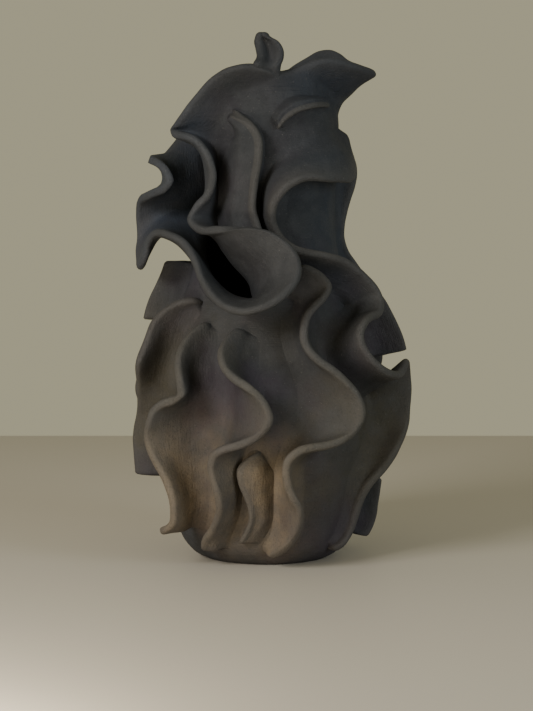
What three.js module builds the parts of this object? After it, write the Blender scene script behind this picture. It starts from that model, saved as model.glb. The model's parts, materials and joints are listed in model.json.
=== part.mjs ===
// A hand-built black clay pot: a gourd-shaped wall in stacked courses, open at the top and down a slanting
// throat at its front left, with a ruffled rim all round that opening and wavy slab ruffles on the outside.
// Millimetres, +Z up, origin at the centre of the foot's resting face, front towards -Y.
// Angles are in degrees round the axis from the front, positive towards +X.
import * as THREE from "three";

// ---------- driving dimensions ----------
const WALL = 7; // thickness of the coiled wall
const SLAB = 6.4; // thickness of a ruffle at its root
const RIM_SHARE = 0.88; // a ruffle's rim over its root thickness
const GAP = 0.9; // clearance between a ruffle's foot and the wall
const EDGE_GAP = 1.15; // clearance between the mouth's rim and the edge of the wall it goes on from
const SEAM = 0.3; // clearance between two courses of the wall, or two lengths of one strip
const FILLET = 13; // how far a ruffle's root spreads over the wall, where its neighbours leave room
const FILLET_HEIGHT = 11;
const BEND = 8; // how far the mouth's rim follows the wall before it turns outwards
const FOLD_CLEARANCE = 0.75; // how far a rim that folds back stands off the wall, as a share of the fold
const RING_STEP = 9.5; // distance between the rings of points of a strip
const BACK_RING_STEP = 13;
const COLUMNS = 32; // divisions of the wall round its axis
const NECK_COLUMNS = 22;
// Rows of the neck as shares of its height: close where the throat's edges slant.
const NECK_ROWS = [
  0, 0.011, 0.026, 0.045, 0.07, 0.105, 0.15, 0.2, 0.25, 0.3, 0.35, 0.41, 0.48, 0.58, 0.69,
  0.79, 0.87, 0.92, 0.95, 0.968, 0.982, 0.993, 1,
];

const FOOT_HEIGHT = 9;
const BOWL_TOP = 58;
const BELLY_TOP = 118;
const SHOULDER_TOP = 172;
const NECK_TOP = 320;

// Outside of the wall as height, radius.
const WALL_PROFILE = [
  [0, 44], [3, 50], [11, 58], [20, 62], [45, 68], [80, 72], [110, 73], [140, 70], [170, 62],
  [195, 53.5], [215, 49], [240, 47.5], [270, 49.5], [300, 50], [320, 47], [345, 44],
];

// ---------- stations ----------
// A strip is given by stations: [root angle, root height, rim angle, rim height, rim's distance out from the
// wall, and, where its middle swells, how far]. The mouth's stations go all round the edge of the neck.
const TOP_EDGE = [
  [230, 320, 231, 329, 9], [215, 320, 215, 335, 9], [198, 320, 199, 339, 10], [181, 320, 181, 339, 9],
  [166, 320, 165, 342, 10], [153, 320, 155, 349, 13], [142, 320, 143, 356.5, 20], [130, 320, 131, 356, 21],
  [118, 320, 118, 348, 22],
  [106, 320, 105, 342.5, 26, 105, 327, 18], [95, 320, 91, 338.5, 30, 92, 324.5, 21],
  [84, 320, 79, 339, 26, 80, 325, 18.5],
  [72, 320, 66, 341, 20, 67, 327.5, 13],
  [61, 320, 54, 342, 15], [50, 320, 42, 341, 7], [39, 320, 31, 338, -1],
  [28, 320, 21, 335, -5], [17, 320, 12, 333.5, -3], [7, 320, 3, 334, 2], [-2, 320, -6, 335.5, 8],
];
const FRONT_EDGE = [
  [-11, 319, -15, 335.5, 13], [-19, 315.5, -23, 334, 16], [-26, 310, -31, 330, 18], [-31, 304, -39, 323, 20],
  [-35, 298, -48, 312, 21], [-37, 293, -58, 302, 21], [-38, 288, -67, 296, 21], [-38, 284, -59, 293, 24],
  [-38, 280, -47, 290.5, 26], [-38, 275, -37, 285.5, 26],
  [-38, 269, -31, 277.5, 26], [-38, 262, -28, 268, 24],
  [-38, 255, -29, 257.5, 24], [-38, 249, -33, 249, 25],
  [-37.5, 243, -39, 242.5, 27], [-37, 238, -41.5, 236, 30],
  [-36, 232, -38, 230, 32], [-34, 226, -30, 227, 34], [-32, 221, -20, 228.5, 35], [-28, 215, -9, 228.5, 38],
  [-24, 210, 1, 226, 40], [-19, 205, 8.5, 220, 42], [-14, 200.5, 13, 211, 44], [-9, 195.5, 13.5, 201, 46],
  [-5, 189.5, 10, 190, 48], [-3.5, 182, 4.5, 181, 48], [-4, 175.5, -2, 175.5, 46],
];
const BOTTOM_EDGE = [[-8.5, 172.5, -9, 174, 44], [-14.5, 172.5, -16, 178, 42]];
const REAR_EDGE = [
  [-23, 173.5, -23, 187, 40], [-33, 176.5, -28, 197, 40], [-44, 182, -31, 207, 41], [-54, 189, -35, 216, 42],
  [-62, 197, -41, 222.5, 43], [-70, 204.5, -50, 225, 43, -59, 224, 24],
  [-77.5, 211.5, -58, 223, 42, -68, 231, 26],
  [-85, 218, -65, 216, 40, -75, 237, 30], [-91, 224.5, -69, 206, 38, -80, 239, 35],
  [-95, 230, -76, 200, 37, -85, 240, 38], [-98, 235, -87, 206, 38, -90, 241, 37],
  [-100, 239, -92, 220, 42, -95, 243, 34], [-101.5, 243, -92, 235, 44, -93, 247, 32],
  [-103, 247, -87, 247, 42, -90, 250, 31], [-104, 251.5, -74, 250.5, 38, -86, 253, 31],
  [-105, 256, -62, 253, 34, -82, 257, 31], [-106, 261, -54, 258, 30, -79, 262, 32],
  [-107, 266, -54, 265, 30, -78, 267, 33], [-108, 271, -60, 271.5, 33, -81, 271, 31],
  [-109, 276, -74, 275.5, 34, -88, 276, 28],
  [-111, 282, -94, 278, 24], [-113, 288, -102, 284, 20],
  [-116, 295, -108, 292, 16], [-120, 304, -114, 303, 12],
  [-124, 312, -121, 315, 10],
];

// Ruffles luted to the outside of the wall, each with its stations from its top end to its bottom end.
const RUFFLES = {
  left_outer_ruffle: [
    [-48, 178, -46, 182, 5], [-52, 176, -52, 180.5, 13], [-57, 170, -58, 175, 20], [-61, 162, -60, 165, 26],
    [-63, 150, -58, 150, 29], [-65, 138, -58, 137, 31], [-67, 127, -64, 128, 26], [-69, 115, -72, 116, 21],
    [-74, 100, -80, 100, 18.5], [-77, 85, -85, 85, 20], [-78, 70, -86, 70, 21], [-78, 57, -86, 55.5, 21],
  ],
  left_front_ruffle: [
    [-36, 164, -37, 167, 5], [-38, 157, -40.5, 160, 14], [-39, 148, -40, 149, 22], [-39, 137, -37, 137, 27],
    [-39, 126, -33, 124, 30], [-39.5, 118, -32, 117.5, 32],
    [-41, 112, -38, 115, 33], [-43, 106, -43.5, 110.5, 35],
    [-44, 98, -47, 99, 36], [-44.5, 87, -49, 88, 35], [-44, 76, -46, 77, 34], [-43, 65, -42, 65, 33],
    [-42, 53, -39.5, 52, 31], [-43, 41, -40, 39, 30], [-46, 33, -43, 30, 30], [-50, 27, -52, 24.5, 33],
  ],
  centre_left_ruffle: [
    [-13, 160, -17, 162, 5], [-14, 155, -20, 156.5, 15],
    [-14.5, 147, -20, 147, 24], [-14.5, 137, -16.5, 136.5, 29],
    [-13.5, 129, -9.5, 128, 31], [-12, 122, -3, 122.5, 33], [-11, 113, 1, 113, 35], [-11, 103, 1.5, 103, 35],
    [-12, 95, -2, 94, 33], [-14, 88, -9.5, 88, 31], [-16, 81, -18, 84, 30], [-17, 74, -22, 76, 29],
    [-17.5, 64, -22, 64.5, 28], [-18, 53, -20, 53, 26], [-20, 42, -21, 42.5, 22], [-24, 31, -27, 30, 16],
    [-29, 21, -37, 19, 11], [-32, 13, -42, 11, 7],
  ],
  centre_right_ruffle: [
    [13, 192, 19, 206, 17], [20, 187, 27, 201, 22], [24, 181, 33, 191.5, 24], [24, 175, 28, 182.5, 24],
    [22, 169, 20, 175.5, 24], [20, 162, 16, 165, 25], [20, 152, 15, 152.5, 27], [22, 143, 19, 143, 29],
    [24, 134, 26, 135.5, 31], [26, 124, 33, 125.5, 33], [27, 113, 37, 113, 34], [26, 102, 37, 102, 33],
    [24, 93, 33, 93, 32], [20, 86, 24, 88, 30], [15, 80, 13, 86, 29],
    [12, 74, 8, 79, 28], [11, 67, 7, 70.5, 28],
    [11, 56, 9, 58.5, 27], [11, 45, 14, 46, 25], [11, 35, 15.5, 36, 22],
    [10, 24, 14, 24, 17], [6, 15, 8, 13.5, 11],
    [1, 9, 1, 7, 6],
  ],
  low_ridge: [
    [-3, 80, -3, 81, 3.5], [-6, 77, -8.5, 77.5, 8], [-8, 69, -13.5, 70, 12], [-8, 60, -13, 59, 12],
    [-7, 50, -10, 48, 10], [-6.5, 39, -8, 37, 9], [-9, 29, -10, 27, 8], [-14, 19, -16, 17, 6],
  ],
  right_shoulder_ruffle: [
    [84, 295, 90, 287, 4], [75, 286, 85, 273, 9], [55, 280, 66, 261, 15], [36, 276, 40, 259, 18],
    [20, 270, 20, 259, 22], [9, 262, 10, 253, 24], [2, 250, 5, 244, 24], [1, 236, 4, 235, 22],
    [3, 224, 7, 226, 18], [10, 215, 15, 218, 15], [21, 208, 25, 214, 16], [34, 202, 37, 211, 20],
    [48, 196, 50, 207, 22], [60, 186, 61, 196, 26], [66, 176, 67, 183, 28], [60, 166, 62, 172, 28],
    [52, 160, 49, 168, 28], [46, 152, 42, 159, 28], [44, 141, 43, 147, 29], [50, 129, 50, 135, 31],
    [61, 122, 62, 131, 32], [72, 121, 76, 139, 30], [78, 112, 84, 128, 28], [80, 100, 84, 110, 28],
    [77, 86, 80, 95, 27], [72, 74, 73, 80, 25], [66, 62, 66, 66, 19], [60, 50, 60, 54, 12.5],
    [58, 39, 57, 40, 9], [56.5, 28, 56, 28, 9], [53.5, 18, 53, 16.5, 9], [47, 11, 45, 9, 7],
  ],
  front_ridge: [
    [-30, 306, -25, 304.5, 4], [-20, 301, -14, 300.5, 8], [-13, 295, -6.5, 294, 11], [-10, 284, -3, 283, 13],
    [-10, 270, -3, 270, 13], [-12, 256, -6, 257, 14], [-14, 243, -7, 243.5, 16], [-13, 231, -4, 230, 18],
    [-11, 222, -2, 221, 19],
  ],
  brow_fold: [
    [8, 296, 8, 292, 3], [15, 304, 14, 300, 6], [24, 309.5, 23, 306, 8], [36, 312, 35, 309.5, 8],
    [48, 313, 48, 311.5, 6], [57, 312, 57, 311, 3],
  ],
  rear_right_ruffle: [
    [97, 286, 97, 284, 8], [98, 275, 97, 274, 14], [98, 260, 97, 260, 14.5], [98, 248, 97, 248, 12],
    [98, 237, 98, 236, 9], [98, 226, 98, 226, 7], [98, 216, 98, 216, 8], [99, 206, 98, 205, 13],
    [100, 195, 98, 194, 19], [100, 182, 98, 181, 25],
    [99, 169, 97, 168, 28], [98, 157, 96, 155, 30], [97, 137, 95, 141, 30],
  ],
  low_right_fin: [
    [100, 54, 98, 52.5, 13.5], [101, 44, 99, 43, 14], [102, 33, 100, 32.5, 15.5], [102, 22, 100, 20.5, 17],
    [101, 13, 99, 9.5, 15.5],
  ],
  left_rear_fin: [
    [-93, 206, -95, 206, 20], [-94, 196, -95, 195, 22], [-95, 183, -96, 182, 24], [-96, 172, -97, 171, 24.5],
    [-96, 165, -97, 164, 24],
  ],
};

// The back has wavy ruffles from one rule: [angle, bottom, top, height of the rim, start of the wave].
const BACK_RUFFLES = {
  back_ruffle_a: [123, 14, 206, 27, 0.4],
  back_ruffle_b: [149, 10, 168, 30, 2.6],
  back_ruffle_c: [176, 16, 214, 27, 4.4],
  back_ruffle_d: [203, 10, 170, 31, 0.9],
  back_ruffle_e: [230, 16, 200, 27, 3.4],
  back_ruffle_f: [252, 66, 152, 20, 5.6],
  upper_back_ruffle_a: [127, 218, 306, 20, 1.0],
  upper_back_ruffle_b: [158, 226, 312, 22, 3.2],
  upper_back_ruffle_c: [191, 220, 308, 22, 5.0],
  upper_back_ruffle_d: [223, 210, 298, 19, 1.6],
};
const BACK_WAVE = 88; // length of one wave
const BACK_SWING = 9; // swing of the rim in degrees; the root swings by half of it

// The ear at the top of the crown: height, then the angle and radius of its left, middle and right.
const EAR = [
  [336.8, -8.5, 55.5, 1.5, 47, 12, 48],
  [341.5, -7, 51, 3, 43, 12.5, 50.5],
  [347, -8.5, 48.5, 3, 41.5, 11.5, 52.5],
  [352.5, -10, 47, 1, 42, 8, 51.5],
  [356.5, -8, 47, -3.5, 44.5, 1, 48],
];
const EAR_THICKNESS = 5;

const clay = (name, tint) =>
  new THREE.MeshStandardMaterial({ name, color: new THREE.Color(tint), roughness: 0.86, metalness: 0 });
const WALL_CLAY = clay("wall_clay", "#35322f");
const RIM_CLAY = clay("rim_clay", "#393634");
const RUFFLE_CLAY = clay("ruffle_clay", "#393533");

const pot = new THREE.Group();
const addPiece = (name, geometry, material) => {
  const mesh = new THREE.Mesh(geometry, material);
  mesh.name = name;
  pot.add(mesh);
};

// ---------- the wall's surface ----------
const PROFILE_POINTS = WALL_PROFILE.map(([z, r]) => new THREE.Vector2(z, r));
const PROFILE_SAMPLES = new THREE.SplineCurve(PROFILE_POINTS).getPoints(600);

/** Reads y at a given x from points that are sorted by x. */
function lookUp(samples, x) {
  const next = samples.findIndex((p) => p.x > x);
  if (next === 0) return samples[0].y;
  if (next < 0) return samples[samples.length - 1].y;
  const [a, b] = [samples[next - 1], samples[next]];
  return a.y + ((b.y - a.y) * (x - a.x)) / (b.x - a.x);
}
const wallRadius = (z) => lookUp(PROFILE_SAMPLES, z);

/** The point at an angle and a radius. */
function polar(angle, radius, z) {
  const turn = THREE.MathUtils.degToRad(angle);
  return new THREE.Vector3(radius * Math.sin(turn), -radius * Math.cos(turn), z);
}
const onWall = (angle, z, out) => polar(angle, wallRadius(z) + out, z);
const outOf = (point) => Math.hypot(point.x, point.y) - wallRadius(point.z);

/** Moves a point along its radius so that it lies this far outside the wall. */
function setOut(point, out) {
  const scale = (wallRadius(point.z) + out) / Math.hypot(point.x, point.y);
  return new THREE.Vector3(point.x * scale, point.y * scale, point.z);
}

function wallNormal(point) {
  const slope = (wallRadius(point.z + 1) - wallRadius(point.z - 1)) / 2;
  return new THREE.Vector3(point.x, point.y, -slope * Math.hypot(point.x, point.y)).normalize();
}

// ---------- closed bodies from rings of points ----------
/** Joins equal rings into a tube and closes both ends; caps lists the triangles of one end by ring index. */
function loft(rings, caps) {
  const size = rings[0].length;
  const corners = rings.flat().flatMap((p) => [p.x, p.y, p.z]);
  const faces = [];
  for (let i = 0; i + 1 < rings.length; i++) {
    for (let j = 0; j < size; j++) {
      const k = (j + 1) % size;
      const [a, b, c, d] = [i * size + j, i * size + k, (i + 1) * size + k, (i + 1) * size + j];
      faces.push([a, b, c], [a, c, d]);
    }
  }
  const last = (rings.length - 1) * size;
  for (const [a, b, c] of caps) {
    faces.push([a, c, b], [last + a, last + b, last + c]);
  }
  return solidGeometry(corners, faces);
}

/** An indexed geometry with its faces turned outwards. */
function solidGeometry(corners, faces) {
  const at = (i) => new THREE.Vector3().fromArray(corners, 3 * i);
  const volume = faces.reduce((sum, [a, b, c]) => sum + at(a).dot(at(b).cross(at(c))), 0);
  const index = faces.flatMap(([a, b, c]) => (volume > 0 ? [a, b, c] : [a, c, b]));
  const geometry = new THREE.BufferGeometry();
  geometry.setAttribute("position", new THREE.Float32BufferAttribute(corners, 3));
  geometry.setIndex(index);
  geometry.computeVertexNormals();
  return geometry;
}

/** The cap of a ring that goes up one side of a slab and down the other, as strips between the two sides. */
function slabCap(size) {
  const caps = [];
  for (let j = 0; 2 * j + 3 < size; j++) {
    const [a, b, c, d] = [j, j + 1, size - 2 - j, size - 1 - j];
    caps.push([a, b, c], [a, c, d]);
  }
  if (size % 2) caps.push([(size - 1) / 2 - 1, (size - 1) / 2, (size - 1) / 2 + 1]);
  return caps;
}

// ---------- foot and wall courses ----------
const heights = (from, to, steps) =>
  Array.from({ length: steps + 1 }, (_, i) => THREE.MathUtils.lerp(from, to, i / steps));

const turned = (profile) =>
  new THREE.LatheGeometry(profile.map(([r, z]) => new THREE.Vector2(r, z)), COLUMNS).rotateX(Math.PI / 2);

function foot() {
  const outside = heights(0, FOOT_HEIGHT, 3).map((z) => [wallRadius(z), z]);
  const floor = FOOT_HEIGHT - 1.5;
  const innerEdge = wallRadius(FOOT_HEIGHT) - WALL - 1;
  return turned([[0, 0], ...outside, [innerEdge, FOOT_HEIGHT], [innerEdge - 8, floor], [0, floor]]);
}

function course(bottom, top, outerSteps, innerSteps) {
  const outside = heights(bottom, top, outerSteps).map((z) => [wallRadius(z), z]);
  const inside = heights(top, bottom, innerSteps).map((z) => [wallRadius(z) - WALL, z]);
  return turned([...outside, ...inside, outside[0]]);
}

addPiece("foot_disc", foot(), WALL_CLAY);
addPiece("lower_bowl_wall", course(FOOT_HEIGHT + SEAM, BOWL_TOP, 5, 3), WALL_CLAY);
addPiece("belly_wall", course(BOWL_TOP + SEAM, BELLY_TOP, 6, 3), WALL_CLAY);
addPiece("shoulder_wall", course(BELLY_TOP + SEAM, SHOULDER_TOP, 6, 3), WALL_CLAY);

// ---------- strips ----------
/**
 * The middle surface of a strip. A place on it is (along, up): along counts stations, up is 0 at the root
 * and 1 at the rim. A rim strip goes on from the edge of the wall; a ruffle stands on the wall's outside.
 */
class Strip {
  constructor(stations, { isRim = false } = {}) {
    this.isRim = isRim;
    this.count = isRim ? stations.length : stations.length - 1;
    const rootOut = isRim ? -WALL / 2 : GAP;
    this.rootOut = rootOut;
    this.rootLine = new THREE.CatmullRomCurve3(stations.map(([a, z]) => onWall(a, z, rootOut)), isRim);
    this.rimLine = new THREE.CatmullRomCurve3(stations.map(([, , a, z, out]) => onWall(a, z, out)), isRim);
    if (!isRim) return;
    this.middleLine = new THREE.CatmullRomCurve3(stations.map((_, i) => this.middleAt(stations, i)), true);
  }

  share(along) {
    return this.isRim ? along / this.count : THREE.MathUtils.clamp(along / this.count, 0, 1);
  }

  edgeAt(along) {
    return setOut(this.rootLine.getPoint(this.share(along)), this.rootOut);
  }

  /**
   * The place that pulls the middle of a rim strip: a station's own, or half way from its bend to its rim.
   * Where the rim folds back over the wall, the middle stands off the wall to clear it.
   */
  middleAt(stations, i) {
    const [, , angle, z, out, middleAngle, middleZ, middleOut] = stations[i];
    if (middleAngle !== undefined) return onWall(middleAngle, middleZ, middleOut);
    const { normal, side, root } = this.frameAt(i);
    const rim = onWall(angle, z, out);
    const foldedBack = Math.max(0, root.clone().sub(rim).dot(side));
    return this.bendAt(i, rim).lerp(rim, 0.5).addScaledVector(normal, FOLD_CLEARANCE * foldedBack);
  }

  bendAt(along, rim) {
    const { side, root } = this.frameAt(along);
    return root.clone().addScaledVector(side, Math.min(BEND, 0.35 * rim.distanceTo(root)));
  }

  frameAt(along) {
    const root = this.edgeAt(along);
    const normal = wallNormal(root);
    const run = this.edgeAt(along + 0.05).sub(this.edgeAt(along - 0.05)).normalize();
    const side = new THREE.Vector3().crossVectors(run, normal).normalize();
    if (this.isRim) root.addScaledVector(side, EDGE_GAP);
    return { normal, side, root };
  }

  point(along, up) {
    const { normal, root } = this.frameAt(along);
    const rim = this.rimLine.getPoint(this.share(along));
    if (!this.isRim) {
      const above = root.clone().addScaledVector(normal, 0.5 * rim.distanceTo(root));
      return new THREE.QuadraticBezierCurve3(root, above, rim).getPoint(up);
    }
    const middle = this.middleLine.getPoint(this.share(along));
    return new THREE.CubicBezierCurve3(root, this.bendAt(along, rim), middle, rim).getPoint(up);
  }

  /** Places from one station to another that are evenly spaced along the rim. */
  places(from, to, spacing) {
    const fine = heights(from, to, 300);
    const marks = fine.map((along) => this.rimLine.getPoint(this.share(along)));
    const passed = [new THREE.Vector2(0, from)];
    for (let i = 1; i < fine.length; i++) {
      passed.push(new THREE.Vector2(passed[i - 1].x + marks[i].distanceTo(marks[i - 1]), fine[i]));
    }
    const length = passed[passed.length - 1].x;
    const steps = Math.max(4, Math.round(length / spacing));
    return heights(0, length, steps).map((distance) => lookUp(passed, distance));
  }

  /** A place this share of the half thickness to one side of the middle surface. */
  offset(along, up, shift) {
    const step = 0.05;
    const down = this.point(along + step, up).sub(this.point(along - step, up));
    const rise = this.point(along, Math.min(1, up + 0.02)).sub(this.point(along, Math.max(0, up - 0.02)));
    const across = new THREE.Vector3().crossVectors(down, rise).normalize();
    return this.point(along, up).addScaledVector(across, shift);
  }

  /** The section of a rim strip: up one side from the root, over the rim, and down the other side. */
  rimRing(along) {
    const height = this.point(along, 1).distanceTo(this.frameAt(along).root);
    const top = 1 - Math.min(0.3, (0.45 * SLAB) / height);
    const half = (share) => THREE.MathUtils.lerp(WALL, SLAB, share) / 2;
    const side = (sign) => [
      ...[0, 0.25, 0.5, 0.75].map((share) => this.offset(along, share * top, sign * half(share))),
      this.offset(along, top, (sign * SLAB * RIM_SHARE) / 2),
    ];
    return [...side(1), this.point(along, 1), ...side(-1).reverse(), this.frameAt(along).root];
  }

  /**
   * The section of a ruffle: toe, fillet, side, rim, the other side down to its toe, and the underside.
   * The rooms are how far the toes may reach from the root, on its positive and its negative side.
   * A side that swells has no fillet and rises evenly from its toe to the rim.
   */
  ruffleRing(along, rooms, { slab, fillet, swells }) {
    const { side, root } = this.frameAt(along);
    const height = this.point(along, 1).distanceTo(root);
    const half = Math.min(slab / 2, 0.8 + 0.4 * height);
    const top = 1 - Math.min(0.3, (0.9 * half) / height);
    const ground = (lateral, out) => setOut(root.clone().addScaledVector(side, lateral), out);
    const clear = (point) => (outOf(point) < GAP + 0.8 ? setOut(point, GAP + 0.8) : point);
    const flank = (sign) => {
      const [room, swell] = sign > 0 ? [rooms[0], swells[0]] : [rooms[1], swells[1]];
      const filletHeight = Math.min(FILLET_HEIGHT, 0.42 * height);
      const bulges = swell ? [0.5 * height, 0.82 * height] : [0.13 * filletHeight, 0.46 * filletHeight];
      const low = swell ? 0.93 * top : filletHeight / height;
      const reach = swell ? Math.min(swell, 1.25 * height) : Math.min(fillet, 1.5 + 0.7 * height);
      const spread = Math.max(0.6, Math.min(reach, room - half));
      return [
        ground(sign * (half + spread), GAP),
        ground(sign * (half + 0.48 * spread), GAP + 0.3 + bulges[0]),
        ground(sign * (half + 0.14 * spread), GAP + 0.4 + bulges[1]),
        clear(this.offset(along, low, sign * half)),
        clear(this.offset(along, top, sign * half * RIM_SHARE)),
      ];
    };
    return [...flank(1), this.point(along, 1), ...flank(-1).reverse(), setOut(root, GAP)];
  }
}

// ---------- the neck and the rim of its mouth ----------
const MOUTH = [...TOP_EDGE, ...FRONT_EDGE, ...BOTTOM_EDGE, ...REAR_EDGE];
const mouth = new Strip(MOUTH, { isRim: true });
const frontFrom = TOP_EDGE.length;
const bottomFrom = frontFrom + FRONT_EDGE.length;
const rearFrom = bottomFrom + BOTTOM_EDGE.length;

/** The angle of one of the mouth's upright edges by height, read from its root line between two stations. */
function uprightEdge(from, to) {
  const marks = heights(from, to, 240).map((along) => {
    const p = mouth.edgeAt(along);
    return new THREE.Vector2(p.z, THREE.MathUtils.radToDeg(Math.atan2(p.x, -p.y)));
  });
  return marks.sort((a, b) => a.x - b.x);
}

/** The neck is one bent sheet: it runs from the throat's front edge round the back to its rear edge. */
function neck() {
  const front = uprightEdge(frontFrom - 1, bottomFrom);
  const rear = uprightEdge(rearFrom - 1, MOUTH.length);
  const rows = NECK_ROWS.map((share) => THREE.MathUtils.lerp(SHOULDER_TOP + SEAM, NECK_TOP, share));
  const rings = [];
  for (let i = 0; i <= NECK_COLUMNS; i++) {
    const place = (out) => (z) =>
      onWall(THREE.MathUtils.lerp(lookUp(front, z), lookUp(rear, z) + 360, i / NECK_COLUMNS), z, out);
    rings.push([...rows.map(place(0)), ...rows.map(place(-WALL)).reverse()]);
  }
  return loft(rings, slabCap(rings[0].length));
}
addPiece("neck_wall", neck(), WALL_CLAY);

// The rim is made in lengths; each starts at the station named here and ends where the next one starts.
const hoodFrom = TOP_EDGE.length - 3;
const lipFrom = frontFrom + 17;
const wingFrom = rearFrom + 7;
const CUT = 0.03; // half of the seam between two lengths, in stations
const RIM_LENGTHS = [
  ["crown_back", 0], ["crown_spout", 6], ["hood", hoodFrom],
  ["throat_lip", lipFrom], ["left_wing", wingFrom],
];
RIM_LENGTHS.forEach(([name, from], i) => {
  const to = i + 1 < RIM_LENGTHS.length ? RIM_LENGTHS[i + 1][1] : MOUTH.length;
  const rings = mouth.places(from + CUT, to - CUT, RING_STEP).map((along) => mouth.rimRing(along));
  addPiece(name, loft(rings, slabCap(rings[0].length)), RIM_CLAY);
});

function ear() {
  const rings = EAR.map(([z, leftAngle, leftRadius, midAngle, midRadius, rightAngle, rightRadius]) => {
    const marks = [[leftAngle, leftRadius], [midAngle, midRadius], [rightAngle, rightRadius]];
    const bow = new THREE.CatmullRomCurve3(marks.map(([angle, radius]) => polar(angle, radius, z)));
    const across = (share, shift) => {
      const run = bow.getTangent(share);
      const outwards = new THREE.Vector3(-run.y, run.x, 0);
      return bow.getPoint(share).addScaledVector(outwards, shift * EAR_THICKNESS);
    };
    const shares = [0.12, 0.37, 0.63, 0.88];
    return [
      across(0, 0), ...shares.map((share) => across(share, 0.5)),
      across(1, 0), ...shares.map((share) => across(share, -0.5)).reverse(),
    ];
  });
  const caps = [[0, 1, 9], [1, 2, 8], [1, 8, 9], [2, 3, 7], [2, 7, 8], [3, 4, 6], [3, 6, 7], [4, 5, 6]];
  return loft(rings, caps);
}
addPiece("crown_ear", ear(), RIM_CLAY);

// ---------- ruffles on the outside ----------
function backStations([angle, bottom, top, height, start]) {
  const steps = Math.round((top - bottom) / 12);
  return heights(top, bottom, steps).map((z, i) => {
    const wave = Math.sin(start + (2 * Math.PI * z) / BACK_WAVE);
    const rise = Math.sin(Math.PI * THREE.MathUtils.clamp((i + 0.35) / (steps + 0.7), 0, 1)) ** 0.55;
    const out = height * rise + 2.5 * wave;
    return [angle + 0.5 * BACK_SWING * wave, z, angle + BACK_SWING * wave, z + 1, out];
  });
}
for (const [name, rule] of Object.entries(BACK_RUFFLES)) {
  RUFFLES[name] = backStations(rule);
}

const strips = Object.entries(RUFFLES).map(([name, stations]) => ({ name, strip: new Strip(stations) }));
const rootMarks = strips.map(({ name, strip }) => ({
  name,
  reach: 1,
  marks: heights(0, strip.count, 8 * strip.count).map((along) => strip.edgeAt(along)),
}));
const mouthMarks = heights(0, mouth.count, 8 * mouth.count).map((along) => setOut(mouth.edgeAt(along), GAP));
rootMarks.push({ name: "mouth", reach: 1.75, marks: mouthMarks });

/**
 * The room beside a root on one side: half of the way to the nearest other ruffle's root. It reaches further
 * towards the ruffle's own bends, and towards the mouth's edge, where nothing spreads to meet it.
 */
function roomBeside(ownName, root, direction) {
  let nearest = 2 * (FILLET + SLAB);
  for (const { name, reach, marks } of rootMarks) {
    const share = name === ownName ? 1.7 : reach;
    for (const mark of marks) {
      const way = mark.clone().sub(root);
      if (way.dot(direction) > 0.35 * way.length()) nearest = Math.min(nearest, share * way.length());
    }
  }
  return nearest / 2 - SEAM;
}

/** Evens a row of numbers out without raising any of them. */
function easeDown(row, times) {
  if (times === 0) return row;
  const eased = row.map((value, i) => {
    const [before, after] = [row[i - 1] ?? value, row[i + 1] ?? value];
    return Math.min(value, (before + 2 * value + after) / 4);
  });
  return easeDown(eased, times - 1);
}

const SLABS = { low_ridge: 5, brow_fold: 4 };
const FILLETS = { left_rear_fin: 4, low_right_fin: 4, rear_right_ruffle: 7 };
// Folds that swell softly out of the wall: how far each side reaches, the positive side first.
const SWELLS = { front_ridge: [15, 0], brow_fold: [0, 9], low_ridge: [0, 20] };
const CUTS = { right_shoulder_ruffle: [["right_shoulder_ruffle", 0], ["right_side_ruffle", 14]] };
for (const { name, strip } of strips) {
  const lengths = CUTS[name] ?? [[name, 0]];
  const spacing = name in BACK_RUFFLES ? BACK_RING_STEP : RING_STEP;
  lengths.forEach(([pieceName, from], i) => {
    const start = i > 0 ? from + CUT : 0;
    const end = i + 1 < lengths.length ? lengths[i + 1][1] - CUT : strip.count;
    const places = strip.places(start, end, spacing);
    const [right, left] = [1, -1].map((sign) => {
      const row = places.map((along) => {
        const { root, side } = strip.frameAt(along);
        return roomBeside(name, root, side.multiplyScalar(sign));
      });
      return easeDown(row, 4);
    });
    const [slab, fillet, swells] = [SLABS[name] ?? SLAB, FILLETS[name] ?? FILLET, SWELLS[name] ?? [0, 0]];
    const shape = { slab, fillet, swells };
    const rings = places.map((along, k) => strip.ruffleRing(along, [right[k], left[k]], shape));
    addPiece(pieceName, loft(rings, slabCap(rings[0].length)), RUFFLE_CLAY);
  });
}

export default pot;
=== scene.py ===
import json
import math

import bpy
import numpy as np
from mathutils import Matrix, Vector
from mathutils.bvhtree import BVHTree

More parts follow.
